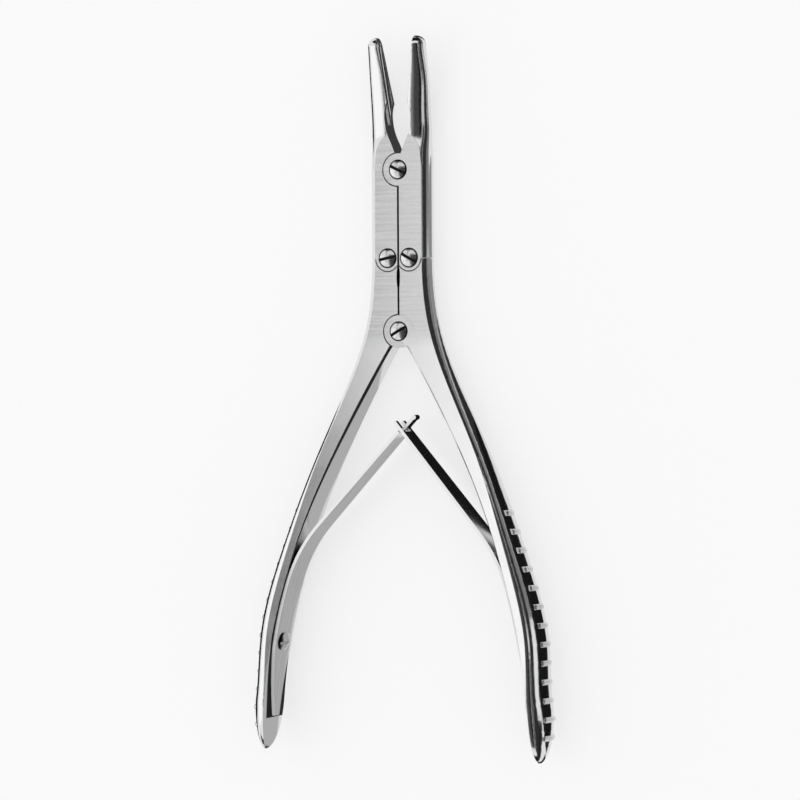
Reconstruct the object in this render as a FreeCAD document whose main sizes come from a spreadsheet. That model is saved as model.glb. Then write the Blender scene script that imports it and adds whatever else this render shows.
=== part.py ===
import FreeCAD, Part
import math
import os

Vector = FreeCAD.Vector

doc = FreeCAD.newDocument("bone_rongeur")
sheet = doc.addObject("Spreadsheet::Sheet", "sizes")

# Driving dimensions in millimetres. X points to the right jaw, Y along the instrument towards the
# jaws and Z towards the front face. The origin lies on the axis of the handle pivot, in the flat
# rear face. Shapes are drawn about the middle of the thickness and raised by half of it at the end.
SIZES = {
    # Linkage in the open pose: two jaws and two handles joined by four pivots
    "jaw_arm": 22.45,
    "handle_arm": 18.7,
    "link_half_spread": 2.98,
    # Box, the flat lapped middle of the instrument
    "box_thickness": 5.3,
    "box_flat_half_width": 6.5,
    "box_side_bulge": 1.9,
    "slit_gap": 0.5,
    "split_gap": 0.2,
    "lap_gap": 0.1,
    "recess_gap": 0.18,
    "pivot_boss_radius": 4.1,
    "link_lug_radius": 3.25,
    # Screws of the four pivots
    "screw_shaft_radius": 1.4,
    "screw_head_radius": 2.4,
    "screw_head_side": 1.1,
    "screw_dome_rise": 0.55,
    "screw_slot_width": 0.75,
    "screw_slot_depth": 0.9,
    "screw_head_sink": 1.1,
    "head_gap": 0.06,
    "running_gap": 0.05,
    "thread_gap": 0.01,
    # Jaws, measured from the jaw pivot
    "jaw_length": 33.4,
    "jaw_outer_root": 8.2,
    "jaw_outer_waist": 8.15,
    "jaw_outer_tip": 7.9,
    "jaw_half_depth_waist": 2.5,
    "jaw_half_depth_heel": 2.15,
    "jaw_half_depth_tip": 2.05,
    "jaw_tip_lift": 3.3,
    "jaw_tip_rounding": 2.45,
    "arch_start": 1.0,
    "arch_length": 7.8,
    "arch_peak_x": 3.1,
    "past_heel_share": 0.2,
    "fore_jaw_share": 0.6,
    "heel_distance": 17.0,
    "heel_half_gap": 2.9,
    "tip_half_gap": 5.25,
    "vee_floor_distance": 3.9,
    "vee_floor_half_gap": 0.72,
    "vee_shoulder_distance": 7.0,
    "vee_shoulder_half_gap": 2.0,
    "vee_bend_distance": 9.6,
    "vee_bend_half_gap": 3.1,
    "relief_distance": 12.6,
    "relief_half_gap": 3.6,
    "heel_bend_distance": 15.25,
    "heel_bend_half_gap": 3.48,
    "cup_radius": 1.5,
    "cup_depth_tip": 1.15,
    "cup_end_wall": 0.75,
    "cup_tail_distance": 12.6,
    "cup_tail_depth": 0.75,
    # Handles, measured down from the handle pivot
    "handle_length": 106.8,
    "crotch_drop": 1.4,
    "neck_flat_x": 8.6,
    "box_flare": 0.45,
    "neck_drop": 12.7,
    "neck_inner_x": 7.4,
    "neck_outer_x": 15.2,
    "neck_half_depth": 3.1,
    "neck_spread": 58.0,
    "shank_drop": 27.7,
    "shank_inner_x": 15.85,
    "shank_outer_x": 22.2,
    "shank_half_depth": 3.8,
    "shank_bulge": 1.9,
    "shank_spread": 72.0,
    "grip_start_drop": 48.0,
    "grip_start_inner_x": 25.45,
    "grip_start_outer_x": 30.65,
    "grip_start_half_depth": 4.8,
    "grip_start_bulge": 2.65,
    "grip_middle_drop": 67.0,
    "grip_middle_inner_x": 31.8,
    "grip_middle_outer_x": 37.35,
    "grip_middle_half_depth": 5.4,
    "grip_middle_bulge": 3.4,
    "seat_radius": 135.0,
    "seat_middle_x": 34.65,
    "seat_slope": 10.3,
    "grip_low_drop": 82.0,
    "grip_low_outer_x": 39.9,
    "grip_low_bulge": 3.6,
    "grip_end_rounding": 13.0,
    "grip_full_outer_x": 40.85,
    "grip_full_half_depth": 5.6,
    "grip_lift": 2.0,
    "grip_lift_start": 25.0,
    "grip_end_flat": 0.3,
    "grip_end_shift": 1.5,
    "grip_end_rise": 1.2,
    "edge_bevel": 0.7,
    "least_bevel": 0.08,
    # Transverse ridges on the outer side of each grip
    "ridge_first_share": 0.425,
    "ridge_last_margin": 6.2,
    "ridge_count": 13,
    "ridge_radius": 8.0,
    "ridge_half_height": 0.7,
    "ridge_first_half_length": 1.5,
    "ridge_last_half_length": 2.6,
    "ridge_rise": 0.4,
    # Leaf springs
    "spring_thickness": 0.8,
    "spring_half_width": 4.3,
    "spring_blade_half_width": 3.6,
    "spring_tip_half_width": 2.9,
    "spring_foot_margin": 8.5,
    "spring_foot_end_half_width": 1.2,
    "spring_full_width_below": 1.5,
    "spring_full_width_above": 7.0,
    "spring_bend_radius": 38.0,
    "spring_leave_drop": 64.0,
    "spring_meet_drop": 24.7,
    "spring_meet_shift": 1.2,
    "fork_reach": 2.5,
    "fork_slot_depth": 1.0,
    "tongue_shoulder": 0.75,
    "tongue_reach": 4.2,
    "tongue_half_width": 1.2,
    "tongue_bead_radius": 0.62,
    "interlock_gap": 0.3,
    # Screws of the springs
    "spring_screw_drop": 79.0,
    "spring_screw_head_radius": 2.4,
    "spring_screw_head_side": 0.35,
    "spring_screw_rise": 0.75,
    "spring_screw_radius": 1.2,
    "spring_screw_depth": 3.4,
}
for row, (alias, number) in enumerate(SIZES.items(), start=1):
    sheet.set("A%d" % row, alias)
    sheet.set("B%d" % row, str(number))
    sheet.setAlias("B%d" % row, alias)
doc.recompute()


def size(alias):
    """Number in the sheet's cell with this alias."""
    return float(getattr(sheet, alias))


LINK_Y = math.sqrt(size("handle_arm") ** 2 - size("link_half_spread") ** 2)
JAW_PIVOT_Y = LINK_Y + math.sqrt(size("jaw_arm") ** 2 - size("link_half_spread") ** 2)
LINK_Y_TERM = "sqrt(sizes.handle_arm^2 - sizes.link_half_spread^2)"
JAW_PIVOT_Y_TERM = LINK_Y_TERM + " + sqrt(sizes.jaw_arm^2 - sizes.link_half_spread^2)"
HALF_THICKNESS = size("box_thickness") / 2
RAISE_TERM = "sizes.box_thickness / 2"
HALF_SLIT = size("slit_gap") / 2
BOX_OUTER_X = size("box_flat_half_width") + size("box_side_bulge")

# The box is a bar of oval section with flats ground on its front and rear. The cosine of the
# spread says how much of the oval's side the flats leave.
BOX_SPREAD_COSINE = ((size("box_flat_half_width") - size("arch_peak_x"))
                     / (BOX_OUTER_X - size("arch_peak_x")))
BOX_SPREAD = math.degrees(math.acos(BOX_SPREAD_COSINE))

GRIP_FULL_DROP = size("handle_length") - size("grip_end_rounding")
FOOT_END_DROP = size("handle_length") - size("spring_foot_margin")

# Spare length by which cutting tools pass through the material that they cut, and the smaller
# allowance by which forgings are drawn past the side that is cut
OVERRUN = 3.0
CUT_ALLOWANCE = 1.0


def mirrored(shape, side):
    """The shape itself for the right side (+1), its mirror image for the left side (-1)."""
    if side > 0:
        return shape
    return shape.mirror(Vector(0, 0, 0), Vector(1, 0, 0))


def feature(name, shape):
    item = doc.addObject("Part::Feature", name)
    item.Shape = shape
    return item


def bind(item, **terms):
    """Tie properties to terms of the sheet; x, y and z stand for the placement."""
    for key, term in terms.items():
        path = "Placement.Base." + key if key in ("x", "y", "z") else key
        item.setExpression(path, str(term))
    return item


def cylinder(name, radius, height, x, y, z):
    item = doc.addObject("Part::Cylinder", name)
    return bind(item, Radius=radius, Height=height, x=x, y=y, z=z)


def block(name, length, width, height, x, y, z):
    item = doc.addObject("Part::Box", name)
    return bind(item, Length=length, Width=width, Height=height, x=x, y=y, z=z)


def fused(name, *items):
    result = doc.addObject("Part::MultiFuse", name)
    result.Shapes = list(items)
    return result


def common(name, *items):
    result = doc.addObject("Part::MultiCommon", name)
    result.Shapes = list(items)
    return result


def cut(name, base, tool):
    result = doc.addObject("Part::Cut", name)
    result.Base = base
    result.Tool = tool
    return result


def oval_arc(start, corner, end, spread):
    """Arc of an ellipse that touches its two tangents at start and end; spread is its angle."""
    curve = Part.BezierCurve()
    curve.setPoles([start, corner, end])
    curve.setWeight(2, math.cos(math.radians(spread) / 2))
    return curve.toShape()


def forging_section(y, inner_x, outer_x, bulge, half_depth, lift, spread=90.0):
    """Section across a forged limb: flat inner, front and rear sides, elliptical outer side.

    A spread of 90 degrees takes the whole half of the ellipse, a smaller one its outer part."""
    crease_x = outer_x - bulge
    front, rear = lift + half_depth, lift - half_depth
    turn = math.radians(spread)
    corner_height = half_depth / math.sin(turn) * math.tan(turn / 2)
    inner_front = Vector(inner_x, y, front)
    crease_front = Vector(crease_x, y, front)
    outermost = Vector(outer_x, y, lift)
    crease_rear = Vector(crease_x, y, rear)
    inner_rear = Vector(inner_x, y, rear)
    return Part.Wire([
        Part.makeLine(inner_front, crease_front),
        oval_arc(crease_front, Vector(outer_x, y, lift + corner_height), outermost, spread),
        oval_arc(outermost, Vector(outer_x, y, lift - corner_height), crease_rear, spread),
        Part.makeLine(crease_rear, inner_rear),
        Part.makeLine(inner_rear, inner_front),
    ])


def loft(sections):
    """Smooth solid through sections, of a degree low enough not to swing between them."""
    return Part.makeLoft(sections, True, False, False, 3)


def plate_through(outline_edges):
    """Prism along Z through the whole depth over a closed outline in the XY plane."""
    depth = 2 * (size("grip_full_half_depth") + size("grip_lift") + size("jaw_tip_lift") + OVERRUN)
    face = Part.Face(Part.Wire(outline_edges))
    face.translate(Vector(0, 0, -depth / 2))
    return face.extrude(Vector(0, 0, depth))


# Jaws

# How the jaw's forward curve grows, and the shares of the arch and of the rounded end at which
# the sections lie
LIFT_POWER = 1.4
ARCH_SHARES = (0.0, 0.35, 0.7, 1.0)
TIP_SHARES = (0.0, 0.35, 0.62, 0.83, 0.95, 0.995)


def rim_x(distance):
    """Half gap between the biting rims at a distance from the jaw pivot, in the open pose."""
    slope = (size("tip_half_gap") - size("heel_half_gap")) / (size("jaw_length") - size("heel_distance"))
    return size("heel_half_gap") + slope * (distance - size("heel_distance"))


def jaw_lift(distance):
    """Forward curve of the jaw: how far its middle lies in front of the box's middle."""
    start = size("arch_start") + size("arch_length")
    if distance <= start:
        return 0.0
    return size("jaw_tip_lift") * ((distance - start) / (size("jaw_length") - start)) ** LIFT_POWER


def jaw_blank():
    """Right jaw before its inner side is cut: box flank, arch where the flats end, round jaw, tip."""
    box = (0.0, BOX_OUTER_X, size("box_side_bulge"), HALF_THICKNESS, 0.0, BOX_SPREAD)
    arch_foot = JAW_PIVOT_Y + size("arch_start")
    flank_foot = LINK_Y - size("link_lug_radius") - OVERRUN
    flank = Part.makeLoft([forging_section(flank_foot, *box), forging_section(arch_foot, *box)], True, True)

    peak_x = size("arch_peak_x")
    limb = []
    for share in ARCH_SHARES:
        outer_x = BOX_OUTER_X + share * (size("jaw_outer_root") - BOX_OUTER_X)
        half_depth = HALF_THICKNESS / math.sqrt(1 - BOX_SPREAD_COSINE ** 2 * (1 - share ** 2))
        limb.append(forging_section(
            arch_foot + share * size("arch_length"), share * (peak_x - CUT_ALLOWANCE), outer_x,
            outer_x - peak_x, half_depth, 0.0))
    waist = size("relief_distance")
    fore = size("jaw_length") - size("heel_distance")
    past_heel = size("heel_distance") + size("past_heel_share") * fore
    fore_jaw = size("heel_distance") + size("fore_jaw_share") * fore
    fore_outer_x = (size("jaw_outer_waist") + size("jaw_outer_tip")) / 2
    stations = (
        (waist, peak_x, size("jaw_outer_waist"), size("jaw_half_depth_waist")),
        (past_heel, rim_x(past_heel), size("jaw_outer_waist"), size("jaw_half_depth_heel")),
        (fore_jaw, rim_x(fore_jaw), fore_outer_x, size("jaw_half_depth_tip")),
    )
    for distance, crease_x, outer_x, half_depth in stations:
        limb.append(forging_section(
            JAW_PIVOT_Y + distance, crease_x - CUT_ALLOWANCE, outer_x, outer_x - crease_x, half_depth,
            jaw_lift(distance)))
    full = size("jaw_length") - size("jaw_tip_rounding")
    tip = []
    for share in TIP_SHARES:
        distance = full + share * size("jaw_tip_rounding")
        shrink = math.sqrt(1 - share ** 2)
        bulge = shrink * (size("jaw_outer_tip") - rim_x(full))
        tip.append(forging_section(
            JAW_PIVOT_Y + distance, rim_x(distance) - CUT_ALLOWANCE, rim_x(distance) + bulge, bulge,
            shrink * size("jaw_half_depth_tip"), jaw_lift(full)))
    limb.append(tip[0])

    flat_length = size("arch_length") + 2 * size("arch_start")
    ground_off = []
    for low_z in (HALF_THICKNESS, -HALF_THICKNESS - OVERRUN):
        ground_off.append(Part.makeBox(
            2 * BOX_OUTER_X, flat_length, OVERRUN,
            Vector(-OVERRUN, JAW_PIVOT_Y, low_z)))
    return flank.fuse([loft(limb).cut(ground_off), loft(tip)])


def jaw_inner_cutter():
    """What is cut from the inner side: slit, vee above the pivot, relief, biting rim."""
    def at(x, distance):
        return Vector(x, JAW_PIVOT_Y + distance, 0)

    bottom = Vector(HALF_SLIT, LINK_Y - size("link_lug_radius") - 2 * OVERRUN, 0)
    slit_top = at(HALF_SLIT, size("vee_floor_distance"))
    floor_end = at(size("vee_floor_half_gap"), size("vee_floor_distance"))
    shoulder = at(size("vee_shoulder_half_gap"), size("vee_shoulder_distance"))
    relief = at(size("relief_half_gap"), size("relief_distance"))
    bend = at(size("vee_bend_half_gap"), size("vee_bend_distance"))
    heel = at(size("heel_half_gap"), size("heel_distance"))
    hollow = at(size("heel_bend_half_gap"), size("heel_bend_distance"))
    past_tip = size("jaw_length") + OVERRUN
    tip = at(rim_x(past_tip), past_tip)
    far_top = Vector(-OVERRUN, tip.y, 0)
    far_bottom = Vector(-OVERRUN, bottom.y, 0)
    return plate_through([
        Part.makeLine(bottom, slit_top),
        Part.makeLine(slit_top, floor_end),
        Part.makeLine(floor_end, shoulder),
        Part.Arc(shoulder, bend, relief).toShape(),
        Part.Arc(relief, hollow, heel).toShape(),
        Part.makeLine(heel, tip),
        Part.makeLine(tip, far_top),
        Part.makeLine(far_top, far_bottom),
        Part.makeLine(far_bottom, bottom),
    ])


def cup_cutter():
    """Round-ended trough in the biting side, deeper towards the heel, that follows the forward curve."""
    radius = size("cup_radius")
    tip_distance = size("jaw_length") - size("cup_end_wall") - radius
    tail_distance = size("cup_tail_distance")
    tip_x = rim_x(tip_distance) + size("cup_depth_tip") - radius
    tail_x = size("relief_half_gap") + size("cup_tail_depth") - radius
    tail = Vector(tail_x, JAW_PIVOT_Y + tail_distance, jaw_lift(tail_distance))
    tip = Vector(tip_x, JAW_PIVOT_Y + tip_distance, jaw_lift(tip_distance))
    axis = tip - tail
    trough = Part.makeCylinder(radius, axis.Length, tail, axis)
    return trough.fuse([Part.makeSphere(radius, tail), Part.makeSphere(radius, tip)])


def jaw(side, name, boss_in_front):
    """One jaw: its pivot boss lies in the front or the rear half of the thickness."""
    blank = feature(name + "_forging", mirrored(jaw_blank().cut([jaw_inner_cutter(), cup_cutter()]), side))
    lug = cylinder(name + "_lug", "sizes.link_lug_radius", "sizes.box_thickness",
                   "%d * sizes.link_half_spread" % side, LINK_Y_TERM, "0")
    upper = block(name + "_upper", "4 * sizes.box_flat_half_width", "2 * sizes.jaw_length + sizes.jaw_arm",
                  "8 * sizes.box_thickness", "-2 * sizes.box_flat_half_width", LINK_Y_TERM,
                  "-4 * sizes.box_thickness")
    body = common(name + "_body", blank, fused(name + "_region", upper, lug))
    edge = "sizes.lap_gap / 2"
    if boss_in_front:
        boss_z, recess_z, recess_height = edge, "-sizes.box_thickness", "sizes.box_thickness + " + edge
    else:
        boss_z, recess_z, recess_height = "-sizes.box_thickness / 2", "-" + edge, "2 * sizes.box_thickness"
    boss = cylinder(name + "_boss", "sizes.pivot_boss_radius", "sizes.box_thickness / 2 - " + edge,
                    "0", JAW_PIVOT_Y_TERM, boss_z)
    pivot_recess = cylinder(name + "_pivot_recess", "sizes.pivot_boss_radius + sizes.recess_gap",
                            recess_height, "0", JAW_PIVOT_Y_TERM, recess_z)
    link_recess = cylinder(name + "_link_recess", "sizes.link_lug_radius + sizes.recess_gap",
                           "sizes.box_thickness + " + edge, "%d * sizes.link_half_spread" % side,
                           LINK_Y_TERM, "-sizes.box_thickness")
    relieved = cut(name + "_relieved", body, fused(name + "_recesses", pivot_recess, link_recess))
    whole = fused(name + "_whole", relieved, boss)
    holes = [screw_hole(name + "_link", "%d * sizes.link_half_spread" % side, LINK_Y_TERM, True),
             screw_hole(name + "_pivot", "0", JAW_PIVOT_Y_TERM, boss_in_front)]
    return bind(cut(name, whole, fused(name + "_holes", *holes)), z=RAISE_TERM)


def screw_hole(name, x, y, in_front):
    """Bore and counterbore in a front layer, or the threaded bore of a rear layer."""
    if not in_front:
        return cylinder(name + "_thread", "sizes.screw_shaft_radius + sizes.thread_gap",
                        "2 * sizes.box_thickness", x, y, "-2 * sizes.box_thickness")
    bore = cylinder(name + "_bore", "sizes.screw_shaft_radius + sizes.running_gap",
                    "2 * sizes.box_thickness", x, y, "-sizes.box_thickness / 2")
    counterbore = cylinder(name + "_counterbore", "sizes.screw_head_radius + sizes.head_gap",
                           "sizes.box_thickness", x, y,
                           "sizes.box_thickness / 2 - sizes.screw_head_sink")
    return fused(name + "_hole", bore, counterbore)


# Handles

# Direction in which the inner side leaves the crotch, and the shares of the bow and of the rounded
# end at which sections lie
CROTCH_DIRECTION = Vector(0.6, -0.8, 0)
BOW_SHARES = (0.04, 0.2, 0.4, 0.6, 0.8, 1.0)
DOME_SHARES = (0.0, 0.3, 0.55, 0.75, 0.89, 0.97, 0.998)


def seat_centre():
    """Centre of the long arc that the inner side of the right grip follows."""
    slope = math.radians(size("seat_slope"))
    middle = Vector(size("seat_middle_x"), -size("spring_screw_drop"), 0)
    return middle - Vector(math.cos(slope), math.sin(slope), 0) * size("seat_radius")


def seat_x(drop):
    """Inner side of the right grip, where the spring's foot lies on it."""
    centre = seat_centre()
    return centre.x + math.sqrt(size("seat_radius") ** 2 - (drop + centre.y) ** 2)


def seat_point(drop, inset=0.0):
    """Point at a distance below the pivot on the seat, or inwards of it by an inset."""
    outward = (Vector(seat_x(drop), -drop, 0) - seat_centre()).normalize()
    return seat_centre() + outward * (size("seat_radius") - inset)


def handle_lift(drop):
    """Slight forward lift of the grips."""
    reach = GRIP_FULL_DROP - size("grip_lift_start")
    return size("grip_lift") * min(1.0, max(0.0, drop - size("grip_lift_start")) / reach)


def handle_blank():
    """Right handle before its inner side is cut: flat box flank, flared shank, round grip, dome end."""
    box = (0.0, BOX_OUTER_X, size("box_side_bulge"), HALF_THICKNESS, 0.0, BOX_SPREAD)
    neck_outer = size("neck_flat_x") + size("shank_bulge")
    sections = [
        forging_section(LINK_Y + size("link_lug_radius") + OVERRUN, *box),
        forging_section(LINK_Y - CUT_ALLOWANCE, *box),
        forging_section(LINK_Y / 2, 0.0, BOX_OUTER_X + size("box_flare"), size("box_side_bulge"),
                        HALF_THICKNESS, 0.0, BOX_SPREAD),
        forging_section(0.0, 0.0, neck_outer, size("shank_bulge"), HALF_THICKNESS, 0.0, BOX_SPREAD),
    ]
    stations = (
        ("neck", size("neck_inner_x"), size("shank_bulge"), size("neck_half_depth"), size("neck_spread")),
        ("shank", size("shank_inner_x"), size("shank_bulge"), size("shank_half_depth"),
         size("shank_spread")),
        ("grip_start", size("grip_start_inner_x"), size("grip_start_bulge"),
         size("grip_start_half_depth"), 90.0),
        ("grip_middle", size("grip_middle_inner_x"), size("grip_middle_bulge"),
         size("grip_middle_half_depth"), 90.0),
        ("grip_low", seat_x(size("grip_low_drop")), size("grip_low_bulge"),
         size("grip_full_half_depth"), 90.0),
    )
    for station, inner_x, bulge, half_depth, spread in stations:
        drop = size(station + "_drop")
        sections.append(forging_section(
            -drop, inner_x - CUT_ALLOWANCE, size(station + "_outer_x"), bulge, half_depth,
            handle_lift(drop), spread))
    dome = []
    for share in DOME_SHARES:
        drop = GRIP_FULL_DROP + share * size("grip_end_rounding")
        shrink = math.sqrt(1 - share ** 2)
        flat = shrink * size("grip_end_flat")
        width = shrink * (size("grip_full_outer_x") - seat_x(GRIP_FULL_DROP))
        inner_x = seat_x(drop) + (1 - shrink) * size("grip_end_shift")
        dome.append(forging_section(
            -drop, inner_x - CUT_ALLOWANCE, inner_x + width, width - flat,
            shrink * size("grip_full_half_depth"),
            handle_lift(GRIP_FULL_DROP) + (1 - shrink) * size("grip_end_rise")))
    sections.append(dome[0])
    return loft(sections).fuse(loft(dome))


def bow_curve():
    """Inner side of the right handle from the crotch down to the spring's seat."""
    points = [Vector(HALF_SLIT, -size("crotch_drop"), 0)]
    for station in ("neck", "shank", "grip_start"):
        points.append(Vector(size(station + "_inner_x"), -size(station + "_drop"), 0))
    seat_top = seat_point(size("spring_leave_drop"))
    points.append(seat_top)
    leaving = (seat_top - seat_centre()).normalize()
    curve = Part.BSplineCurve()
    curve.interpolate(Points=points, InitialTangent=CROTCH_DIRECTION,
                      FinalTangent=Vector(leaving.y, -leaving.x, 0))
    return curve


def handle_inner_cutter():
    """What is cut from the inner side: slit, crotch, long bow, flat spring seat and rounded end."""
    top = Vector(HALF_SLIT, LINK_Y + size("link_lug_radius") + 2 * OVERRUN, 0)
    bow = bow_curve()
    crotch, seat_top = bow.StartPoint, bow.EndPoint
    seat_end = seat_point(GRIP_FULL_DROP)
    along = Vector(seat_centre().y - seat_end.y, seat_end.x - seat_centre().x, 0) * -1
    corner = seat_end + along * ((seat_end.y + size("handle_length")) / -along.y)
    end = Vector(seat_x(size("handle_length")) + size("grip_end_shift"), corner.y, 0)
    below_end = end - Vector(0, OVERRUN, 0)
    far_bottom = Vector(-OVERRUN, below_end.y, 0)
    far_top = Vector(-OVERRUN, top.y, 0)
    return plate_through([
        Part.makeLine(top, crotch),
        bow.toShape(),
        Part.Arc(seat_top, seat_point(size("spring_screw_drop")), seat_end).toShape(),
        oval_arc(seat_end, corner, end, 90.0),
        Part.makeLine(end, below_end),
        Part.makeLine(below_end, far_bottom),
        Part.makeLine(far_bottom, far_top),
        Part.makeLine(far_top, top),
    ])


def edge_bevels(blank):
    """What is filed off the front and rear edges of the bow, running out at the spring's seat."""
    bow = bow_curve()
    stations = []
    for share in BOW_SHARES:
        bevel = max(size("least_bevel"), size("edge_bevel") * (1 - share ** 2))
        stations.append((bow.value(share * bow.LastParameter), bevel))
    tools = []
    for toward in (1, -1):
        sections = []
        for inner, bevel in stations:
            edge = surface_point(blank, inner + Vector(bevel, 0, 0), Vector(0, 0, toward))
            over = Vector(CUT_ALLOWANCE, 0, toward * CUT_ALLOWANCE)
            upper = edge + over
            lower = edge - Vector(bevel, 0, toward * bevel) - over
            sections.append(Part.makePolygon([upper, lower, Vector(lower.x, lower.y, upper.z), upper]))
        tools.append(loft(sections))
    return tools


def surface_point(blank, start, direction):
    """Where a ray leaves the solid."""
    ray = Part.makeLine(start, start + direction * size("handle_length"))
    return max(ray.common(blank).Vertexes, key=lambda vertex: vertex.Point.dot(direction)).Point


def ridges(blank):
    """Round-ended bars across the outer side of the grip, their seams hidden inside it."""
    bars = []
    count = int(size("ridge_count"))
    first = size("ridge_first_share") * size("handle_length")
    last = size("handle_length") - size("ridge_last_margin")
    ring_radius = size("ridge_radius") - size("ridge_half_height")
    for index in range(count):
        share = index / (count - 1)
        drop = first + share * (last - first)
        half_length = size("ridge_first_half_length") + share * (
            size("ridge_last_half_length") - size("ridge_first_half_length"))
        outer, below = [outer_point(blank, drop + step) for step in (0.0, CUT_ALLOWANCE)]
        along = (below - outer).normalize()
        outward = Vector(-along.y, along.x, 0)
        centre = outer + outward * (size("ridge_rise") - size("ridge_radius"))
        half_sweep = math.asin(half_length / ring_radius)
        middle = centre + outward * (ring_radius * math.cos(half_sweep))
        front, rear = middle + Vector(0, 0, half_length), middle - Vector(0, 0, half_length)
        inward = (centre - rear).normalize()
        rim = Part.Circle(rear, inward.cross(along), size("ridge_half_height"))
        rim.XAxis = inward
        end_face = Part.Face(Part.Wire(rim.toShape()))
        bars.append(end_face.revolve(centre, along, 2 * math.degrees(half_sweep)))
        bars.append(Part.makeSphere(size("ridge_half_height"), rear))
        bars.append(Part.makeSphere(size("ridge_half_height"), front))
    return bars


def outer_point(blank, drop):
    """Outermost point of the handle at a distance below the pivot, in its middle plane."""
    return surface_point(blank, Vector(seat_x(drop) * 0.5, -drop, handle_lift(drop)), Vector(1, 0, 0))


def handle(side, name, boss_in_front):
    """One handle: its pivot boss lies in the front or the rear half of the thickness."""
    forging = handle_blank()
    forging = forging.fuse(ridges(forging)).cut([handle_inner_cutter()] + edge_bevels(forging))
    screw_bore = Part.makeCylinder(
        size("spring_screw_radius") + size("thread_gap"), size("spring_screw_depth") + 2 * OVERRUN,
        spring_screw_seat() - seat_outward() * 2 * OVERRUN, seat_outward())
    forging = forging.cut(screw_bore)
    blank = feature(name + "_forging", mirrored(forging, side))
    reach = "sizes.handle_length + 2 * sizes.handle_arm"
    lug = cylinder(name + "_lug", "sizes.link_lug_radius", "sizes.box_thickness",
                   "%d * sizes.link_half_spread" % side, LINK_Y_TERM, "-sizes.box_thickness")
    lower = block(name + "_lower", "4 * sizes.grip_full_outer_x", reach, "8 * sizes.box_thickness",
                  "-2 * sizes.grip_full_outer_x",
                  LINK_Y_TERM + " - sizes.split_gap - (" + reach + ")", "-4 * sizes.box_thickness")
    body = common(name + "_body", blank, fused(name + "_region", lower, lug))
    edge = "sizes.lap_gap / 2"
    if boss_in_front:
        boss_z, recess_z, recess_height = edge, "-sizes.box_thickness", "sizes.box_thickness + " + edge
    else:
        boss_z, recess_z, recess_height = "-sizes.box_thickness / 2", "-" + edge, "2 * sizes.box_thickness"
    boss = cylinder(name + "_boss", "sizes.pivot_boss_radius", "sizes.box_thickness / 2 - " + edge,
                    "0", "0", boss_z)
    pivot_recess = cylinder(name + "_pivot_recess", "sizes.pivot_boss_radius + sizes.recess_gap",
                            recess_height, "0", "0", recess_z)
    link_recess = cylinder(name + "_link_recess", "sizes.link_lug_radius + sizes.recess_gap",
                           "2 * sizes.box_thickness", "%d * sizes.link_half_spread" % side,
                           LINK_Y_TERM, "-" + edge)
    relieved = cut(name + "_relieved", body, fused(name + "_recesses", pivot_recess, link_recess))
    whole = fused(name + "_whole", relieved, boss)
    holes = [screw_hole(name + "_link", "%d * sizes.link_half_spread" % side, LINK_Y_TERM, False),
             screw_hole(name + "_pivot", "0", "0", boss_in_front)]
    return bind(cut(name, whole, fused(name + "_holes", *holes)), z=RAISE_TERM)


# Leaf springs

def seat_outward():
    """Direction square to the seat at the spring's screw, into the right handle."""
    return (seat_point(size("spring_screw_drop")) - seat_centre()).normalize()


def spring_screw_seat():
    """Point on the right handle's seat in the axis of the spring's screw."""
    drop = size("spring_screw_drop")
    return seat_point(drop) + Vector(0, 0, handle_lift(drop))


def meeting_point(shift):
    """Where a spring crosses the other one; drawn on the right side, so the shift has a sign."""
    return Vector(shift, -size("spring_meet_drop"), 0)


def blade_turns(meet):
    """Centre and span of the spring's bend above its foot, and the direction of its blade."""
    half = size("spring_thickness") / 2
    leave = seat_point(size("spring_leave_drop"), half)
    outward = (leave - seat_centre()).normalize()
    radius = size("spring_bend_radius")
    centre = leave - outward * radius
    to_meet = meet - centre
    start = math.atan2(outward.y, outward.x)
    end = math.atan2(to_meet.y, to_meet.x) - math.acos(radius / to_meet.Length)
    return centre, start, end, Vector(-math.sin(end), math.cos(end), 0)


def leaf_side(meet, offset, reach):
    """One long side of the leaf, offset outwards from its middle line: foot, bend and blade."""
    inset = size("spring_thickness") / 2 - offset
    leave = size("spring_leave_drop")
    centre, start, end, along = blade_turns(meet)
    radius = size("spring_bend_radius") + offset

    def on_bend(angle):
        return centre + Vector(math.cos(angle), math.sin(angle), 0) * radius

    tip = meet + along * reach + Vector(along.y, -along.x, 0) * offset
    foot_end = seat_point(FOOT_END_DROP, inset)
    foot = Part.Arc(foot_end, seat_point((FOOT_END_DROP + leave) / 2, inset),
                    seat_point(leave, inset)).toShape()
    bend = Part.Arc(on_bend(start), on_bend((start + end) / 2), on_bend(end)).toShape()
    return foot_end, tip, [foot, bend, Part.makeLine(on_bend(end), tip)]


def leaf(meet, reach):
    """Leaf of even thickness, ending at a reach past the point where the two springs meet."""
    half = size("spring_thickness") / 2
    outer_foot, outer_tip, outer = leaf_side(meet, half, reach)
    inner_foot, inner_tip, inner = leaf_side(meet, -half, reach)
    rim = outer + inner + [Part.makeLine(outer_tip, inner_tip), Part.makeLine(inner_foot, outer_foot)]
    face = Part.Face(Part.Wire(Part.__sortEdges__(rim)))
    width = size("spring_half_width")
    face.translate(Vector(0, 0, -width))
    along = blade_turns(meet)[3]
    return face.extrude(Vector(0, 0, 2 * width)), along, Vector(along.y, -along.x, 0)


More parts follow.
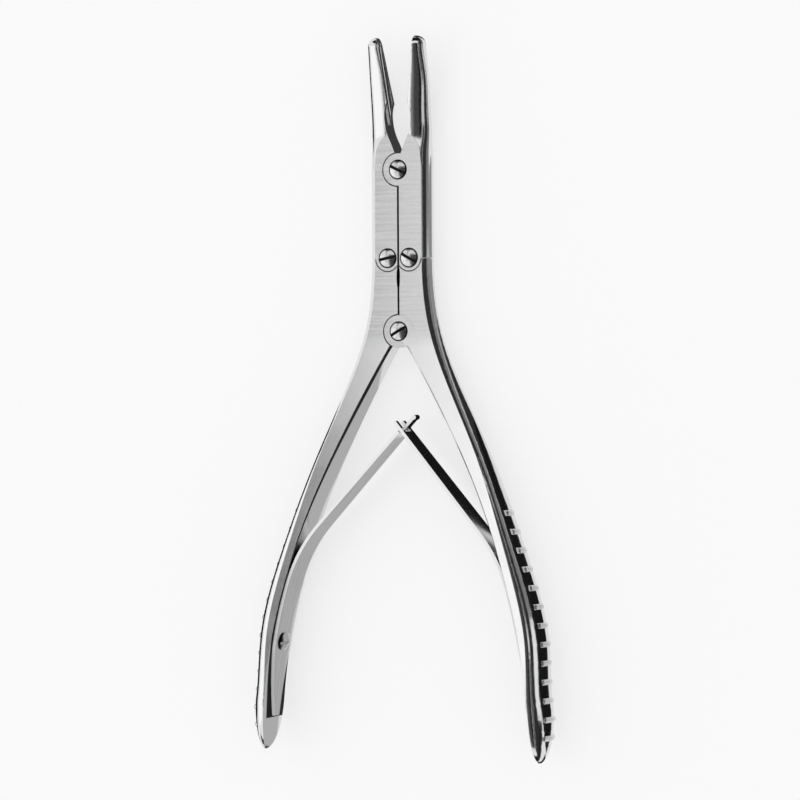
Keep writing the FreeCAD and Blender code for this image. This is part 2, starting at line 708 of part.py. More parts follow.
def width_profile():
    """Side view of a leaf: narrow foot end, full width at the screw, slender blade."""
    top_y = -size("spring_meet_drop") + size("tongue_reach") + OVERRUN
    half_widths = (
        (-FOOT_END_DROP - OVERRUN, size("spring_foot_end_half_width")),
        (-FOOT_END_DROP, size("spring_foot_end_half_width")),
        (-size("spring_screw_drop") - size("spring_full_width_below"), size("spring_half_width")),
        (-size("spring_screw_drop") + size("spring_full_width_above"), size("spring_half_width")),
        (-size("grip_start_drop"), size("spring_blade_half_width")),
        (-size("spring_meet_drop"), size("spring_tip_half_width")),
        (top_y, size("spring_tip_half_width")),
    )
    front = [Vector(0, y, half) for y, half in half_widths]
    rear = [Vector(0, y, -half) for y, half in reversed(half_widths)]
    face = Part.Face(Part.makePolygon(front + rear + [front[0]]))
    return face.extrude(Vector(2 * size("grip_full_outer_x"), 0, 0)).fuse(
        face.extrude(Vector(-2 * size("grip_full_outer_x"), 0, 0)))


def blade_block(meet, along, blade_side, start, end, half_width):
    """Block square to the blade, from one distance past the meeting point to another."""
    aside = blade_side * OVERRUN
    low, high = meet + along * start, meet + along * end
    face = Part.Face(Part.makePolygon([low - aside, high - aside, high + aside, low + aside, low - aside]))
    face.translate(Vector(0, 0, -half_width))
    return face.extrude(Vector(0, 0, 2 * half_width))


def drilled(shape):
    """The leaf with the hole for its screw, raised to the middle of the grip."""
    lifted = shape.translated(Vector(0, 0, handle_lift(size("spring_screw_drop"))))
    hole = Part.makeCylinder(size("spring_screw_radius") + size("head_gap"), 2 * OVERRUN,
                             spring_screw_seat() - seat_outward() * OVERRUN, seat_outward())
    return lifted.cut(hole)


def forked_spring():
    """Right spring: its tip is forked to take the other spring's tongue."""
    meet = meeting_point(size("spring_meet_shift"))
    shape, along, blade_side = leaf(meet, size("fork_reach"))
    slot = blade_block(meet, along, blade_side, -size("fork_slot_depth"), size("fork_reach") + OVERRUN,
                       size("tongue_half_width") + size("interlock_gap"))
    forked = shape.common(width_profile()).cut(slot)
    return bind(feature("right_spring", drilled(forked)), z=RAISE_TERM)


def tongued_spring():
    """Left spring: a narrow tongue passes through the fork and ends in a rolled bead."""
    meet = meeting_point(-size("spring_meet_shift"))
    shape, along, blade_side = leaf(meet, size("tongue_reach"))
    shape = shape.common(width_profile())
    for sign in (1, -1):
        flank = blade_block(meet, along, blade_side, -size("tongue_shoulder"),
                            size("tongue_reach") + OVERRUN, size("spring_half_width"))
        flank.translate(Vector(0, 0, sign * (size("spring_half_width") + size("tongue_half_width"))))
        shape = shape.cut(flank)
    bead_foot = meet + along * size("tongue_reach") - Vector(0, 0, size("tongue_half_width"))
    bead = Part.makeCylinder(size("tongue_bead_radius"), 2 * size("tongue_half_width"), bead_foot)
    return bind(feature("left_spring", mirrored(drilled(shape.fuse(bead)), -1)), z=RAISE_TERM)


# Screws

def slotted_head(name, radius, side, rise, slot_width, slot_depth):
    """Domed head above the plane z = 0, with its slot along X."""
    disc = cylinder(name + "_disc", radius, "%s + %s" % (side, rise), "0", "0", "0")
    dome = doc.addObject("Part::Sphere", name + "_dome")
    ball = "((%s)^2 + (%s)^2) / (2 * (%s))" % (radius, rise, rise)
    bind(dome, Radius=ball, z="%s + %s - %s" % (side, rise, ball))
    slot = block(name + "_slot", "4 * (%s)" % radius, slot_width, slot_depth, "-2 * (%s)" % radius,
                 "-(%s) / 2" % slot_width, "%s + %s - %s" % (side, rise, slot_depth))
    return common(name + "_head", disc, dome), slot


def pivot_screw(name, x, y, slot_angle):
    """Screw of a lap joint: head sunk in the front layer, threaded end in the rear layer."""
    head, slot = slotted_head(name, "sizes.screw_head_radius", "sizes.screw_head_side",
                              "sizes.screw_dome_rise", "sizes.screw_slot_width", "sizes.screw_slot_depth")
    length = "sizes.box_thickness - sizes.screw_head_sink + sizes.head_gap / 2"
    shaft = cylinder(name + "_shaft", "sizes.screw_shaft_radius", length + " + sizes.screw_head_side / 2",
                     "0", "0", "-(%s)" % length)
    screw = cut(name, fused(name + "_solid", head, shaft), slot)
    screw.Placement.Rotation = FreeCAD.Rotation(Vector(0, 0, 1), slot_angle)
    return bind(screw, x=x, y=y, z="sizes.box_thickness - sizes.screw_head_sink + sizes.head_gap / 2")


def spring_screw(name, side):
    """Screw that holds a spring's foot on the inner side of its handle."""
    head, slot = slotted_head(name, "sizes.spring_screw_head_radius", "sizes.spring_screw_head_side",
                              "sizes.spring_screw_rise", "sizes.screw_slot_width",
                              "sizes.spring_screw_rise")
    length = "sizes.spring_screw_depth + sizes.spring_thickness"
    shaft = cylinder(name + "_shaft", "sizes.spring_screw_radius",
                     length + " + sizes.spring_screw_head_side / 2", "0", "0", "-(%s)" % length)
    screw = cut(name, fused(name + "_solid", head, shaft), slot)
    seat = spring_screw_seat() - seat_outward() * (size("spring_thickness") + size("head_gap"))
    inward = seat_outward() * -1
    turn = FreeCAD.Rotation(Vector(0, 0, 1), Vector(side * inward.x, inward.y, 0))
    screw.Placement = FreeCAD.Placement(Vector(side * seat.x, seat.y, seat.z + HALF_THICKNESS), turn)
    return screw


sub_parts = [
    jaw(1, "right_jaw", True),
    jaw(-1, "left_jaw", False),
    handle(1, "right_handle", True),
    handle(-1, "left_handle", False),
    pivot_screw("jaw_pivot_screw", "0", JAW_PIVOT_Y_TERM, -25),
    pivot_screw("handle_pivot_screw", "0", "0", 27),
    pivot_screw("left_link_screw", "-sizes.link_half_spread", LINK_Y_TERM, 11),
    pivot_screw("right_link_screw", "sizes.link_half_spread", LINK_Y_TERM, -28),
    tongued_spring(),
    forked_spring(),
    spring_screw("left_spring_screw", -1),
    spring_screw("right_spring_screw", 1),
]
for sub_part in sub_parts:
    sub_part.Label = sub_part.Name

doc.recompute()

for item in doc.Objects:
    if "Invalid" in item.State or "Error" in item.State:
        raise RuntimeError("%s could not be built" % item.Name)

os.makedirs("parts", exist_ok=True)
for sub_part in sub_parts:
    shape = sub_part.Shape
    if shape.isNull() or not shape.isValid():
        raise RuntimeError("%s has no valid shape" % sub_part.Label)
    print("%-20s solids %d volume %8.2f mm3" % (sub_part.Label, len(shape.Solids), shape.Volume))
    shape.exportStep(os.path.join("parts", sub_part.Label + ".step"))
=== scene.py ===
import math

import bmesh
import bpy
from mathutils import Matrix, Vector


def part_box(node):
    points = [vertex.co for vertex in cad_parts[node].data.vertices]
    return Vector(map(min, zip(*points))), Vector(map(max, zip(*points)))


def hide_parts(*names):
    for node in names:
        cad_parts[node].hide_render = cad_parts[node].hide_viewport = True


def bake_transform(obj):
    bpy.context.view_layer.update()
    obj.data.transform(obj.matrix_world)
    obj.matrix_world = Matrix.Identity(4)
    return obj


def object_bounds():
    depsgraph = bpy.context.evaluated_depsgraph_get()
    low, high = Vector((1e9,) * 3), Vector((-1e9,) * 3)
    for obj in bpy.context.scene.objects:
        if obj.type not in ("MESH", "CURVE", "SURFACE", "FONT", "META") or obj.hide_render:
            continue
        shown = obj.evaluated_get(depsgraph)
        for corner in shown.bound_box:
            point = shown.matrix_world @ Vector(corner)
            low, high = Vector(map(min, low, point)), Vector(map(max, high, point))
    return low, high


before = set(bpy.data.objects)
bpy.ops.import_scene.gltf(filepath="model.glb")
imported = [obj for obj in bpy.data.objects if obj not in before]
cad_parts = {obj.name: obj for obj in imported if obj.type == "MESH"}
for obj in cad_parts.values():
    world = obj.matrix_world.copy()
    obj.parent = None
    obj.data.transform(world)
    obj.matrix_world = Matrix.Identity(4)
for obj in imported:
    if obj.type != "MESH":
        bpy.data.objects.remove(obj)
cad_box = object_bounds()

MM = 0.001
WHITE = (1.0, 1.0, 1.0, 1.0)


# Shader maths

class Shade:
    """A socket that takes part in Python expressions, each operator adding one Math node."""

    def __init__(self, tree, socket):
        self.tree = tree
        self.socket = socket

    def _math(self, operation, *values):
        return self.tree.add("ShaderNodeMath", {"operation": operation}, dict(enumerate(values)))

    def __add__(self, other):
        return self._math("ADD", self, other)

    def __radd__(self, other):
        return self._math("ADD", other, self)

    def __sub__(self, other):
        return self._math("SUBTRACT", self, other)

    def __rsub__(self, other):
        return self._math("SUBTRACT", other, self)

    def __mul__(self, other):
        return self._math("MULTIPLY", self, other)

    def __rmul__(self, other):
        return self._math("MULTIPLY", other, self)

    def __truediv__(self, other):
        return self._math("DIVIDE", self, other)

    def above(self, low, high):
        """0 below low, 1 above high and smooth between."""
        return self.tree.add(
            "ShaderNodeMapRange", {"interpolation_type": "SMOOTHSTEP"},
            {"Value": self, "From Min": low, "From Max": high, "To Min": 0.0, "To Max": 1.0})

    def below(self, low, high):
        """1 below low, 0 above high and smooth between."""
        return 1.0 - self.above(low, high)

    def absolute(self):
        return self._math("ABSOLUTE", self)

    def rounded(self):
        return self._math("ROUND", self)

    def root(self):
        return self._math("SQRT", self)

    def greatest(self, other):
        return self._math("MAXIMUM", self, other)


class Tree:
    """Node tree of a material or of the world, with one method that adds any node."""

    def __init__(self, owner):
        owner.use_nodes = True
        self.nodes = owner.node_tree.nodes
        self.links = owner.node_tree.links
        self.nodes.clear()

    def add(self, kind, settings=None, inputs=None, output=0):
        node = self.nodes.new(kind)
        for name, value in (settings or {}).items():
            setattr(node, name, value)
        for name, value in (inputs or {}).items():
            if isinstance(value, Shade):
                self.links.new(value.socket, node.inputs[name])
            else:
                node.inputs[name].default_value = value
        return Shade(self, node.outputs[output]) if node.outputs else None

    def part(self, shade, output):
        """Another output of the node that a shade comes from."""
        return Shade(self, shade.socket.node.outputs[output])

    def mixed(self, share, low, high):
        """Colour between two colours."""
        return self.add("ShaderNodeMix", {"data_type": "RGBA"}, {0: share, 6: low, 7: high}, output=2)

    def edges_rounded(self, radius):
        """Normal that catches light along sharp edges."""
        return self.add("ShaderNodeBevel", {"samples": 4}, {"Radius": radius})


def middle_of(node_name):
    low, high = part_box(node_name)
    return (low + high) / 2


class Surface:
    """What the finishes ask of a point: where it lies, how far from an axis and which way it faces."""

    def __init__(self, tree):
        self.tree = tree
        self.place = tree.add("ShaderNodeTexCoord", output="Object")
        self.x = tree.add("ShaderNodeSeparateXYZ", inputs={0: self.place})
        self.y = tree.part(self.x, "Y")
        self.z = tree.part(self.x, "Z")
        normal = tree.add("ShaderNodeNewGeometry", output="Normal")
        self.rightward = tree.add("ShaderNodeSeparateXYZ", inputs={0: normal})
        self.lengthways = tree.part(self.rightward, "Y")
        self.forward = tree.part(self.rightward, "Z")

    def from_axis(self, axis):
        """Distance from an axis that runs from front to rear."""
        across = self.x - axis.x
        along = self.y - axis.y
        return (across * across + along * along).root()

    def noise(self, scales, detail=2.0):
        stretched = self.tree.add("ShaderNodeVectorMath", {"operation": "MULTIPLY"},
                                  {0: self.place, 1: scales})
        return self.tree.add("ShaderNodeTexNoise", {"noise_dimensions": "3D"},
                             {"Vector": stretched, "Scale": 1.0, "Detail": detail, "Roughness": 0.6})


# Forgings

FLAT_STEEL = (0.83, 0.83, 0.83, 1.0)
FLAT_STEEL_LOW = (0.57, 0.57, 0.575, 1.0)
SIDE_STEEL = (0.78, 0.78, 0.785, 1.0)
# Painted shade on the seat beside each spring's foot
SEAT_PAINTED_SHADE = (0.012, 0.012, 0.012, 1.0)
# Painted shade in the recesses round the screws, in the centre seam and in the link gap
JOINT_PAINTED_SHADE = (0.02, 0.02, 0.02, 1.0)

FLAT_FACING = (0.9994, 0.9999)
FRONT_FACING = (0.9, 0.95)
SEAM_WALL_FACING = (0.6, 0.8)
SQUARE_FACING = (0.8, 0.9)

BRUSH_SCALES = (50.0, 1700.0, 50.0)
BRUSH_DETAIL = 4.0
BRUSH_CONTRAST = (0.3, 0.7)
BRUSH_SHARE = 0.6
BRUSH_BUMP = 0.06
BRUSH_DEPTH = 0.02 * MM
CLOUD_SCALES = (160.0, 160.0, 160.0)
POLISHED_ROUGHNESS = 0.13
FLAT_ROUGHER = 0.06
BRUSH_ROUGHER = 0.12
CLOUD_ROUGHER = 0.06
EDGE_ROUNDING = 0.12 * MM
LINE_SOFTNESS = 0.06 * MM

CENTRE_LINE = 0.2 * MM
CENTRE_LINE_FOOT = (4.3 * MM, 4.4 * MM)
CENTRE_LINE_HEAD = (36.4 * MM, 36.5 * MM)
SEAM_DEPTH = 1.0 * MM
LINK_GAP_FOOT = (14.0 * MM, 15.0 * MM)
LINK_GAP_HEAD = (22.0 * MM, 23.0 * MM)

BOSS_LINE_RADIUS = 4.40 * MM
LUG_LINE_RADIUS = 3.53 * MM
HEAD_LINE_RADIUS = 2.56 * MM

# Where a ring of shadow shows on each forging: the screw whose axis it goes round, its radius,
# and +1 for the front or -1 for the rear
JOINT_LINES = {
    "left_jaw": (("jaw_pivot_screw", BOSS_LINE_RADIUS, 1),
                 ("left_link_screw", HEAD_LINE_RADIUS, 1),
                 ("left_link_screw", LUG_LINE_RADIUS, -1)),
    "right_jaw": (("jaw_pivot_screw", HEAD_LINE_RADIUS, 1),
                  ("right_link_screw", HEAD_LINE_RADIUS, 1),
                  ("jaw_pivot_screw", BOSS_LINE_RADIUS, -1),
                  ("right_link_screw", LUG_LINE_RADIUS, -1)),
    "left_handle": (("handle_pivot_screw", BOSS_LINE_RADIUS, 1),
                    ("left_link_screw", LUG_LINE_RADIUS, 1)),
    "right_handle": (("handle_pivot_screw", HEAD_LINE_RADIUS, 1),
                     ("right_link_screw", LUG_LINE_RADIUS, 1),
                     ("handle_pivot_screw", BOSS_LINE_RADIUS, -1)),
}

SEAT_TOP = -56.0 * MM
SEAT_BLEND = 3.0 * MM
SEAT_FRONT = 7.5 * MM
SEAT_SLOPE = 0.07
SEAT_MARGIN = 0.4 * MM
SEAT_ROUGHER = 0.4

BAR_COUNT = 13
BAR_HALF_HEIGHT = 0.72 * MM
FIRST_BAR_SHARE = 0.425
LAST_BAR_MARGIN = 6.2 * MM
BAR_FACING = (0.1, 0.2)
BAR_FRONT_END = (0.36, 0.42)
BAR_ROUGHER = 0.25
BAR_LESS_METALLIC = 0.65


def ring_shadow(surface, screw, radius, facing):
    """Mask of what lies inside a ring round a screw's axis, on the forging's front or rear."""
    inside = surface.from_axis(middle_of(screw)).below(radius - LINE_SOFTNESS, radius)
    return inside * (surface.forward * facing).above(*FRONT_FACING)


def centre_seam_shade(surface):
    """Mask of the painted shade in the seam down the middle of the box and in the gap between the link
    lugs.
    """
    off_centre = surface.x.absolute()
    line = off_centre.below(CENTRE_LINE, CENTRE_LINE + LINE_SOFTNESS)
    line = line * surface.forward.above(*FRONT_FACING)
    wall = off_centre.below(SEAM_DEPTH, SEAM_DEPTH + LINE_SOFTNESS)
    wall = wall * surface.rightward.absolute().above(*SEAM_WALL_FACING)
    seam = line.greatest(wall)
    seam = seam * surface.y.above(*CENTRE_LINE_FOOT) * surface.y.below(*CENTRE_LINE_HEAD)
    gap = surface.lengthways.absolute().above(*SQUARE_FACING)
    gap = gap * surface.y.above(*LINK_GAP_FOOT) * surface.y.below(*LINK_GAP_HEAD)
    return seam.greatest(gap)


def spring_seat_shade(surface, inward, grip_end, spring_foot):
    """Mask of the seat beside the spring's foot, on the inner side of a handle, where shade is painted
    near black.
    """
    seat_shade = inward.above(*SQUARE_FACING) * surface.y.below(SEAT_TOP, SEAT_TOP + SEAT_BLEND)
    seat_end = spring_foot - SEAT_MARGIN
    seat_shade = seat_shade * surface.y.above(seat_end - LINE_SOFTNESS, seat_end)
    front = SEAT_FRONT + SEAT_SLOPE * (surface.y - grip_end)
    return seat_shade * (surface.z - front).below(0.0, SEAT_MARGIN)


def grip_bar_sheen(surface, outward, grip_end):
    """Mask of the raised bars, made rougher and less metallic so that they show paler than the polished
    grip: a painted sheen.
    """
    first = grip_end * FIRST_BAR_SHARE
    pitch = (first - (grip_end + LAST_BAR_MARGIN)) / (BAR_COUNT - 1)
    steps = (first - surface.y) / pitch
    off_centre = (steps - steps.rounded()).absolute() * pitch
    bar_sheen = off_centre.below(BAR_HALF_HEIGHT - LINE_SOFTNESS, BAR_HALF_HEIGHT)
    bar_sheen = bar_sheen * steps.above(-0.5, -0.4) * steps.below(BAR_COUNT - 0.6, BAR_COUNT - 0.5)
    return bar_sheen * outward.above(*BAR_FACING) * (surface.forward / outward).below(*BAR_FRONT_END)


def brushed_steel(node_name):
    """Satin steel: brushed across on its flat front and rear, polished on its rounded sides."""
    material = bpy.data.materials.new(node_name + "_steel")
    tree = Tree(material)
    surface = Surface(tree)
    flat = surface.forward.absolute().above(*FLAT_FACING)
    lines = surface.noise(BRUSH_SCALES, BRUSH_DETAIL).above(*BRUSH_CONTRAST)
    clouds = surface.noise(CLOUD_SCALES)
    streaks = (lines - 0.5) * flat
    brushed = tree.mixed(lines * BRUSH_SHARE + clouds * (1.0 - BRUSH_SHARE), FLAT_STEEL_LOW, FLAT_STEEL)
    shade = tree.mixed(flat, SIDE_STEEL, brushed)
    # Painted shadow in the recesses round the screws, then painted shade in the centre seam and the link
    # gap
    for screw, radius, facing in JOINT_LINES[node_name]:
        shade = tree.mixed(ring_shadow(surface, screw, radius, facing), shade, JOINT_PAINTED_SHADE)
    shade = tree.mixed(centre_seam_shade(surface), shade, JOINT_PAINTED_SHADE)
    roughness = POLISHED_ROUGHNESS + flat * FLAT_ROUGHER + streaks * BRUSH_ROUGHER
    roughness = roughness + (clouds - 0.5) * CLOUD_ROUGHER
    metallic = 1.0
    if node_name.endswith("_handle"):
        inward = surface.rightward * (1.0 if node_name.startswith("left") else -1.0)
        grip_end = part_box(node_name)[0].y
        spring_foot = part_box(node_name.replace("handle", "spring"))[0].y
        seat_shade = spring_seat_shade(surface, inward, grip_end, spring_foot)
        bar_sheen = grip_bar_sheen(surface, inward * -1.0, grip_end)
        # Painted shade on the seat beside the spring's foot
        shade = tree.mixed(seat_shade, shade, SEAT_PAINTED_SHADE)
        roughness = roughness + seat_shade * SEAT_ROUGHER + bar_sheen * BAR_ROUGHER
        # Painted sheen on the bars: with less metal their pale base colour shows
        metallic = 1.0 - bar_sheen * BAR_LESS_METALLIC
    bump = tree.add("ShaderNodeBump", inputs={
        "Strength": BRUSH_BUMP, "Distance": BRUSH_DEPTH, "Height": streaks,
        "Normal": tree.edges_rounded(EDGE_ROUNDING)})
    steel = tree.add("ShaderNodeBsdfPrincipled", inputs={
        "Base Color": shade, "Metallic": metallic, "Roughness": roughness, "Normal": bump})
    tree.add("ShaderNodeOutputMaterial", inputs={"Surface": steel})
    return material


# Leaf springs

SPRING_STEEL = (0.88, 0.88, 0.885, 1.0)
SPRING_LINE_SCALES = (60.0, 60.0, 1800.0)
SPRING_EDGE_FACING = (0.8, 0.95)
SPRING_ROUGHNESS = 0.14
SPRING_LINE_ROUGHER = 0.08
SPRING_EDGE_ROUGHER = 0.2
SPRING_EDGE_LESS_METALLIC = 0.9
SPRING_EDGE_ROUNDING = 0.1 * MM


def spring_steel():
    """Polished leaf with faint lines along it and slightly rounded, rougher edges that are nearly
    non-metallic, so that they show pale: a painted highlight.
    """
    material = bpy.data.materials.new("spring_steel")
    tree = Tree(material)
    surface = Surface(tree)
    lines = surface.noise(SPRING_LINE_SCALES)
    edge = surface.forward.absolute().above(*SPRING_EDGE_FACING)
    roughness = SPRING_ROUGHNESS + lines * SPRING_LINE_ROUGHER + edge * SPRING_EDGE_ROUGHER
    steel = tree.add("ShaderNodeBsdfPrincipled", inputs={
        "Base Color": tree.mixed(lines * (1.0 - edge), SPRING_STEEL, FLAT_STEEL_LOW),
        # Painted highlight on the leaf's edges: with almost no metal their pale base colour shows
        "Metallic": 1.0 - edge * SPRING_EDGE_LESS_METALLIC,
        "Roughness": roughness,
        "Normal": tree.edges_rounded(SPRING_EDGE_ROUNDING)})
    tree.add("ShaderNodeOutputMaterial", inputs={"Surface": steel})
    return material


# Screws

SCREW_STEEL = (0.80, 0.80, 0.80, 1.0)
SCREW_SHADE = (0.015, 0.015, 0.015, 1.0)
SCREW_GRAIN_SCALES = (900.0, 900.0, 900.0)
SCREW_ROUGHNESS = 0.2
SPRING_SCREW_RIM_FACING = (0.3, 0.5)
SLOT_FLOOR_BELOW = 0.62 * MM
SLOT_FLOOR_DEPTH = 1.3 * MM
HEAD_RIM_RADIUS = 2.2 * MM


def slot_and_rim(surface, node_name):
    """Mask of the shadow in a pivot screw's slot and round the rim of its head."""
    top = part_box(node_name)[1].z
    slot_top = top - SLOT_FLOOR_BELOW
    slot_floor = top - SLOT_FLOOR_DEPTH
    slot = surface.z.below(slot_top, slot_top + LINE_SOFTNESS)
    slot = slot * surface.z.above(slot_floor, slot_floor + LINE_SOFTNESS)
    rim = surface.from_axis(middle_of(node_name))
    return slot.greatest(rim.above(HEAD_RIM_RADIUS - LINE_SOFTNESS, HEAD_RIM_RADIUS))


def screw_steel(node_name):
    """Polished screw with shadow in its slot and round the rim of its head."""
    material = bpy.data.materials.new(node_name + "_steel")
    tree = Tree(material)
    surface = Surface(tree)
    shade = tree.mixed(surface.noise(SCREW_GRAIN_SCALES), FLAT_STEEL_LOW, SCREW_STEEL)
    if node_name.endswith("spring_screw"):
        shadow = surface.forward.absolute().above(*SPRING_SCREW_RIM_FACING)
    else:
        shadow = slot_and_rim(surface, node_name)
    steel = tree.add("ShaderNodeBsdfPrincipled", inputs={
        "Base Color": tree.mixed(shadow, shade, SCREW_SHADE), "Metallic": 1.0,
        "Roughness": SCREW_ROUGHNESS, "Normal": tree.edges_rounded(EDGE_ROUNDING)})
    tree.add("ShaderNodeOutputMaterial", inputs={"Surface": steel})
    return material


# Every solid's finish

def finish(piece, material):
    piece.data.materials.clear()
    piece.data.materials.append(material)


leaf_steel = spring_steel()

for node_name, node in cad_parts.items():
    if node_name.endswith("_screw"):
        finish(node, screw_steel(node_name))
    elif node_name.endswith("_spring"):
        finish(node, leaf_steel)
    else:
        finish(node, brushed_steel(node_name))


# Leaf springs, cut into rings in place of their CAD parts

RING_PITCH = 2.0 * MM
WELD_DISTANCE = 0.001 * MM
CUT_TOLERANCE = 0.0001 * MM
SHARP_ANGLE = math.radians(35)


def cut_into_rings(shape, low, high):
    """Cuts a leaf across at even steps, so that its blade can bend."""
    ring = low + RING_PITCH
    while ring < high:
        bmesh.ops.bisect_plane(shape, geom=shape.verts[:] + shape.edges[:] + shape.faces[:],
                               dist=CUT_TOLERANCE, plane_co=(0, ring, 0), plane_no=(0, 1, 0))
        ring += RING_PITCH


def smooth_between_sharp_edges(shape):
    for face in shape.faces:
        face.smooth = True
    for edge in shape.edges:
        edge.smooth = edge.is_manifold and edge.calc_face_angle(0.0) < SHARP_ANGLE


def leaf_spring(side):
    """The solid's own shape, welded and cut into rings, shown in place of its CAD part."""
    node_name = side + "_spring"
    low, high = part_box(node_name)
    shape = bmesh.new()
    shape.from_mesh(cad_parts[node_name].data)
    bmesh.ops.remove_doubles(shape, verts=shape.verts, dist=WELD_DISTANCE)
    cut_into_rings(shape, low.y, high.y)
    smooth_between_sharp_edges(shape)
    mesh = bpy.data.meshes.new(side + "_leaf")
    shape.to_mesh(mesh)
    shape.free()
    leaf = bpy.data.objects.new(side + "_leaf", mesh)
    bpy.context.collection.objects.link(leaf)
    finish(leaf, leaf_steel)
    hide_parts(node_name)
    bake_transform(leaf)


leaf_spring("left")
leaf_spring("right")


# Camera

IMAGE_SIZE = 800
SENSOR_WIDTH = 36.0
VIEW_ANGLE = math.radians(26.0)
VIEW_ROLL = math.radians(0.3)
VIEW_DISTANCE = 720 * MM
METRES_PER_PIXEL = 0.2517 * MM
CENTRE_PIXEL = 399
NEAREST_SEEN = 10 * MM
VIEW_TARGET = Vector((0, -17.3, 5.3)) * MM

toward_camera = Vector((math.sin(VIEW_ANGLE), 0, math.cos(VIEW_ANGLE)))
level_right = Vector((math.cos(VIEW_ANGLE), 0, -math.sin(VIEW_ANGLE)))
level_up = Vector((0, 1, 0))
right = level_right * math.cos(VIEW_ROLL) - level_up * math.sin(VIEW_ROLL)
up = level_right * math.sin(VIEW_ROLL) + level_up * math.cos(VIEW_ROLL)

camera_data = bpy.data.cameras.new("camera")
camera_data.sensor_width = SENSOR_WIDTH
camera_data.lens = SENSOR_WIDTH * VIEW_DISTANCE / (METRES_PER_PIXEL * IMAGE_SIZE)
camera_data.shift_x = (IMAGE_SIZE / 2 - CENTRE_PIXEL) / IMAGE_SIZE
camera_data.clip_start = NEAREST_SEEN
camera = bpy.data.objects.new("camera", camera_data)
bpy.context.collection.objects.link(camera)
camera.matrix_world = Matrix.Translation(VIEW_TARGET + toward_camera * VIEW_DISTANCE) @ Matrix(
    (right, up, toward_camera)).transposed().to_4x4()
bpy.context.scene.camera = camera


# Studio

FLOOR_HEIGHT = cad_box[0][2] - 0.02 * MM
FLOOR_REACH = 4.0
FLOOR_COLOUR = (0.9, 0.9, 0.9, 1.0)
FLOOR_GLOW_SHARE = 0.65
CEILING = 1.0
RIGHT_WALL = 0.45
CARD_LIFT = 0.02 * MM
SKY_STRENGTH = 0.94

SOFTBOX_PLACE = Vector((-0.95, -0.1, 0.6))
SOFTBOX_TARGET = Vector((0.0, -0.1, 0.0))
SOFTBOX_SIZE = 0.8
SOFTBOX_POWER = 0.5

# The cards glow and show only in the steel: painted highlights where they are bright, painted shade where
# they are dark
# Name, left and right edge, end by the grips, end by the jaws, strength
CEILING_CARDS = (
    ("ceiling_left", -0.64, -0.53, -0.3, 0.9, 0.10),
    ("ceiling_bright", -0.452, -0.35, -0.9, 0.9, 1.3),
    ("ceiling_dim", -0.33, -0.16, -0.9, 0.4, 0.18),
    ("ceiling_dark", -0.16, 0.20, -0.9, 0.4, 0.06),
    ("ceiling_black", 0.20, RIGHT_WALL, -0.9, 0.4, 0.005),
)

# Name, foot and head, end by the grips, end by the jaws, strength
WALL_CARDS = (
    ("wall_high_front", 0.58, 0.90, -0.9, -0.03, 0.05),
    ("wall_bright", 0.56, 0.90, -0.03, 0.06, 0.8),
    ("wall_high_back", 0.58, 0.90, 0.06, 0.9, 0.05),
    ("wall_middle", 0.21, 0.56, -0.9, 0.9, 0.03),
    ("wall_low_front", FLOOR_HEIGHT, 0.21, -0.9, -0.14, 0.02),
    ("wall_low_back", FLOOR_HEIGHT, 0.21, 0.04, 0.9, 0.22),
)

# Name, place along the instrument, reach to each side, head, strength
END_CARDS = (
    ("back_wall", 0.9, 0.9, 1.0, 0.01),
    ("front_wall", -0.9, 1.6, 0.5, 0.01),
)

# The floor cards darken what the steel reflects of the floor round the instrument: painted shade
# Name, strength, corners on the floor in millimetres
FLOOR_CARDS = (
    ("beyond_jaws", 0.02, ((-14, 77), (14, 77), (14, 300), (-14, 300))),
    ("beyond_right_grip", 0.02, ((30, -109), (48, -109), (48, -300), (30, -300))),
    ("beyond_left_grip", 0.02, ((-48, -109), (-30, -109), (-30, -300), (-48, -300))),
    ("beside_box", 0.30, ((14, 5), (450, 5), (450, 45), (14, 45))),
    ("beside_pivot", 0.03, ((21, -20), (450, -20), (450, 5), (14, 5))),
    ("beside_handle", 0.01, ((21, -20), (30, -37), (37, -57), (43, -81), (45, -108), (450, -108),
                             (450, -20))),
    ("between_left", 0.50, ((0, -8), (-10, -17), (-20, -37), (-28, -57), (-33, -81), (-36, -104),
                            (-40, -125), (0, -125))),
    ("beside_left_handle", 0.01, ((-130, -17), (-130, -108), (-40, -108), (-37, -81), (-31.5, -57),
                                  (-24, -37), (-14.5, -17))),
    ("beside_left_jaw", 0.02, ((-90, 50), (-4, 50), (-4, 76), (-90, 76))),
    ("beside_spring", 0.01, ((9, -14), (-4, -14), (-2, -21), (9, -37), (16, -57), (20, -81), (33, -81),
                             (28, -57), (20, -37), (12, -20))),
    ("between_jaws", 0.05, ((-4, 46), (6, 46), (8, 76), (-4, 76))),
)


def sheet(name, corners, material):
    """Flat stage piece over its corners in metres."""
    mesh = bpy.data.meshes.new(name)
    mesh.from_pydata(corners, [], [range(len(corners))])
    piece = bpy.data.objects.new(name, mesh)
    bpy.context.collection.objects.link(piece)
    finish(piece, material)
    return piece


def floor_finish():
    """Pale floor that keeps a soft shadow: part of its white is its own."""
    material = bpy.data.materials.new("pale_floor")
    tree = Tree(material)
    rays = tree.add("ShaderNodeLightPath", output="Is Camera Ray")
    seen = rays.greatest(tree.part(rays, "Is Glossy Ray")).greatest(tree.part(rays, "Is Transmission Ray"))
    matte = tree.add("ShaderNodeBsdfDiffuse", inputs={"Color": FLOOR_COLOUR})
    white = tree.add("ShaderNodeEmission", inputs={"Color": WHITE, "Strength": 1.0})
    surface = tree.add("ShaderNodeMixShader", inputs={0: seen * FLOOR_GLOW_SHARE, 1: matte, 2: white})
    tree.add("ShaderNodeOutputMaterial", inputs={"Surface": surface})
    return material


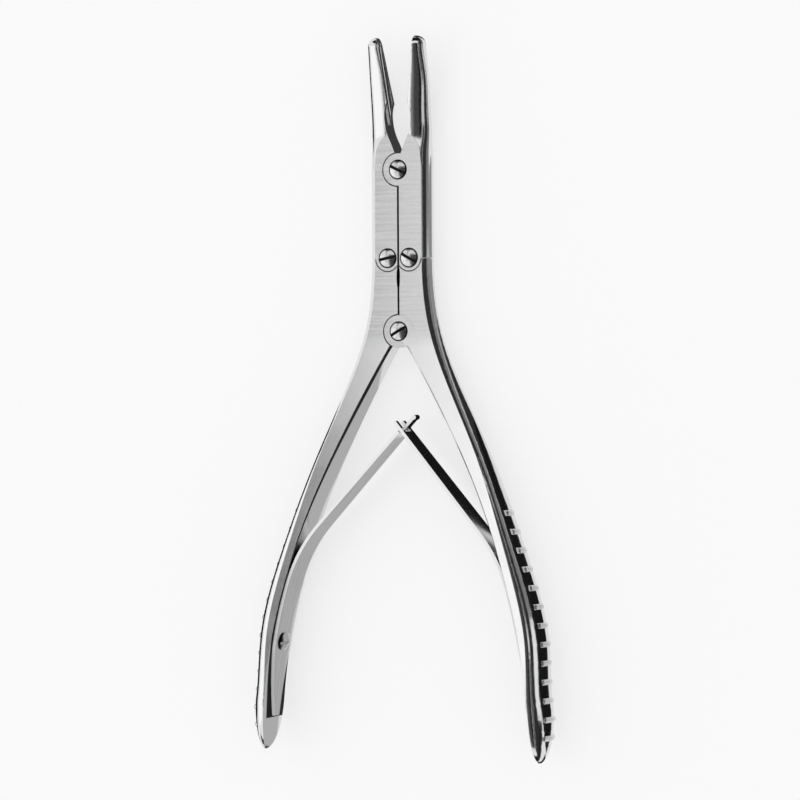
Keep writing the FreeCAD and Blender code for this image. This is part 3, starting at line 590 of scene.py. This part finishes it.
def card_finish(name, strength):
    """Even glow that the steel shows as a painted reflection."""
    material = bpy.data.materials.new(name)
    tree = Tree(material)
    grey = tree.add("ShaderNodeEmission", inputs={"Color": WHITE, "Strength": strength})
    tree.add("ShaderNodeOutputMaterial", inputs={"Surface": grey})
    return material


def reflected_card(name, corners, strength):
    """Glowing card that lights nothing and shows only in the steel's reflections: a painted reflection,
    bright or dark.
    """
    card = sheet(name, corners, card_finish(name, strength))
    card.visible_camera = False
    card.visible_diffuse = False
    card.visible_shadow = False


def soft_lamp(name):
    """Soft square lamp turned towards the handles."""
    lamp_data = bpy.data.lights.new(name, "AREA")
    lamp_data.shape = "SQUARE"
    lamp_data.size = SOFTBOX_SIZE
    lamp_data.energy = SOFTBOX_POWER
    lamp = bpy.data.objects.new(name, lamp_data)
    bpy.context.collection.objects.link(lamp)
    lamp.location = SOFTBOX_PLACE
    lamp.rotation_euler = (SOFTBOX_TARGET - SOFTBOX_PLACE).to_track_quat("-Z", "Y").to_euler()


def pale_world():
    world = bpy.data.worlds.new("studio")
    bpy.context.scene.world = world
    tree = Tree(world)
    sky = tree.add("ShaderNodeBackground", inputs={"Color": WHITE, "Strength": SKY_STRENGTH})
    tree.add("ShaderNodeOutputWorld", inputs={"Surface": sky})


sheet("floor", [(-FLOOR_REACH, -FLOOR_REACH, FLOOR_HEIGHT), (FLOOR_REACH, -FLOOR_REACH, FLOOR_HEIGHT),
                (FLOOR_REACH, FLOOR_REACH, FLOOR_HEIGHT), (-FLOOR_REACH, FLOOR_REACH, FLOOR_HEIGHT)],
      floor_finish())

for name, left, right_edge, low, high, strength in CEILING_CARDS:
    reflected_card(name, [(left, low, CEILING), (right_edge, low, CEILING),
                          (right_edge, high, CEILING), (left, high, CEILING)], strength)

for name, foot, head, low, high, strength in WALL_CARDS:
    reflected_card(name, [(RIGHT_WALL, low, foot), (RIGHT_WALL, high, foot),
                          (RIGHT_WALL, high, head), (RIGHT_WALL, low, head)], strength)

for name, end, reach, head, strength in END_CARDS:
    reflected_card(name, [(-reach, end, FLOOR_HEIGHT), (reach, end, FLOOR_HEIGHT),
                          (reach, end, head), (-reach, end, head)], strength)

for name, strength, corners in FLOOR_CARDS:
    reflected_card(name, [(x * MM, y * MM, FLOOR_HEIGHT + CARD_LIFT) for x, y in corners], strength)

soft_lamp("left_softbox")
pale_world()
bpy.context.scene.view_settings.view_transform = "Standard"
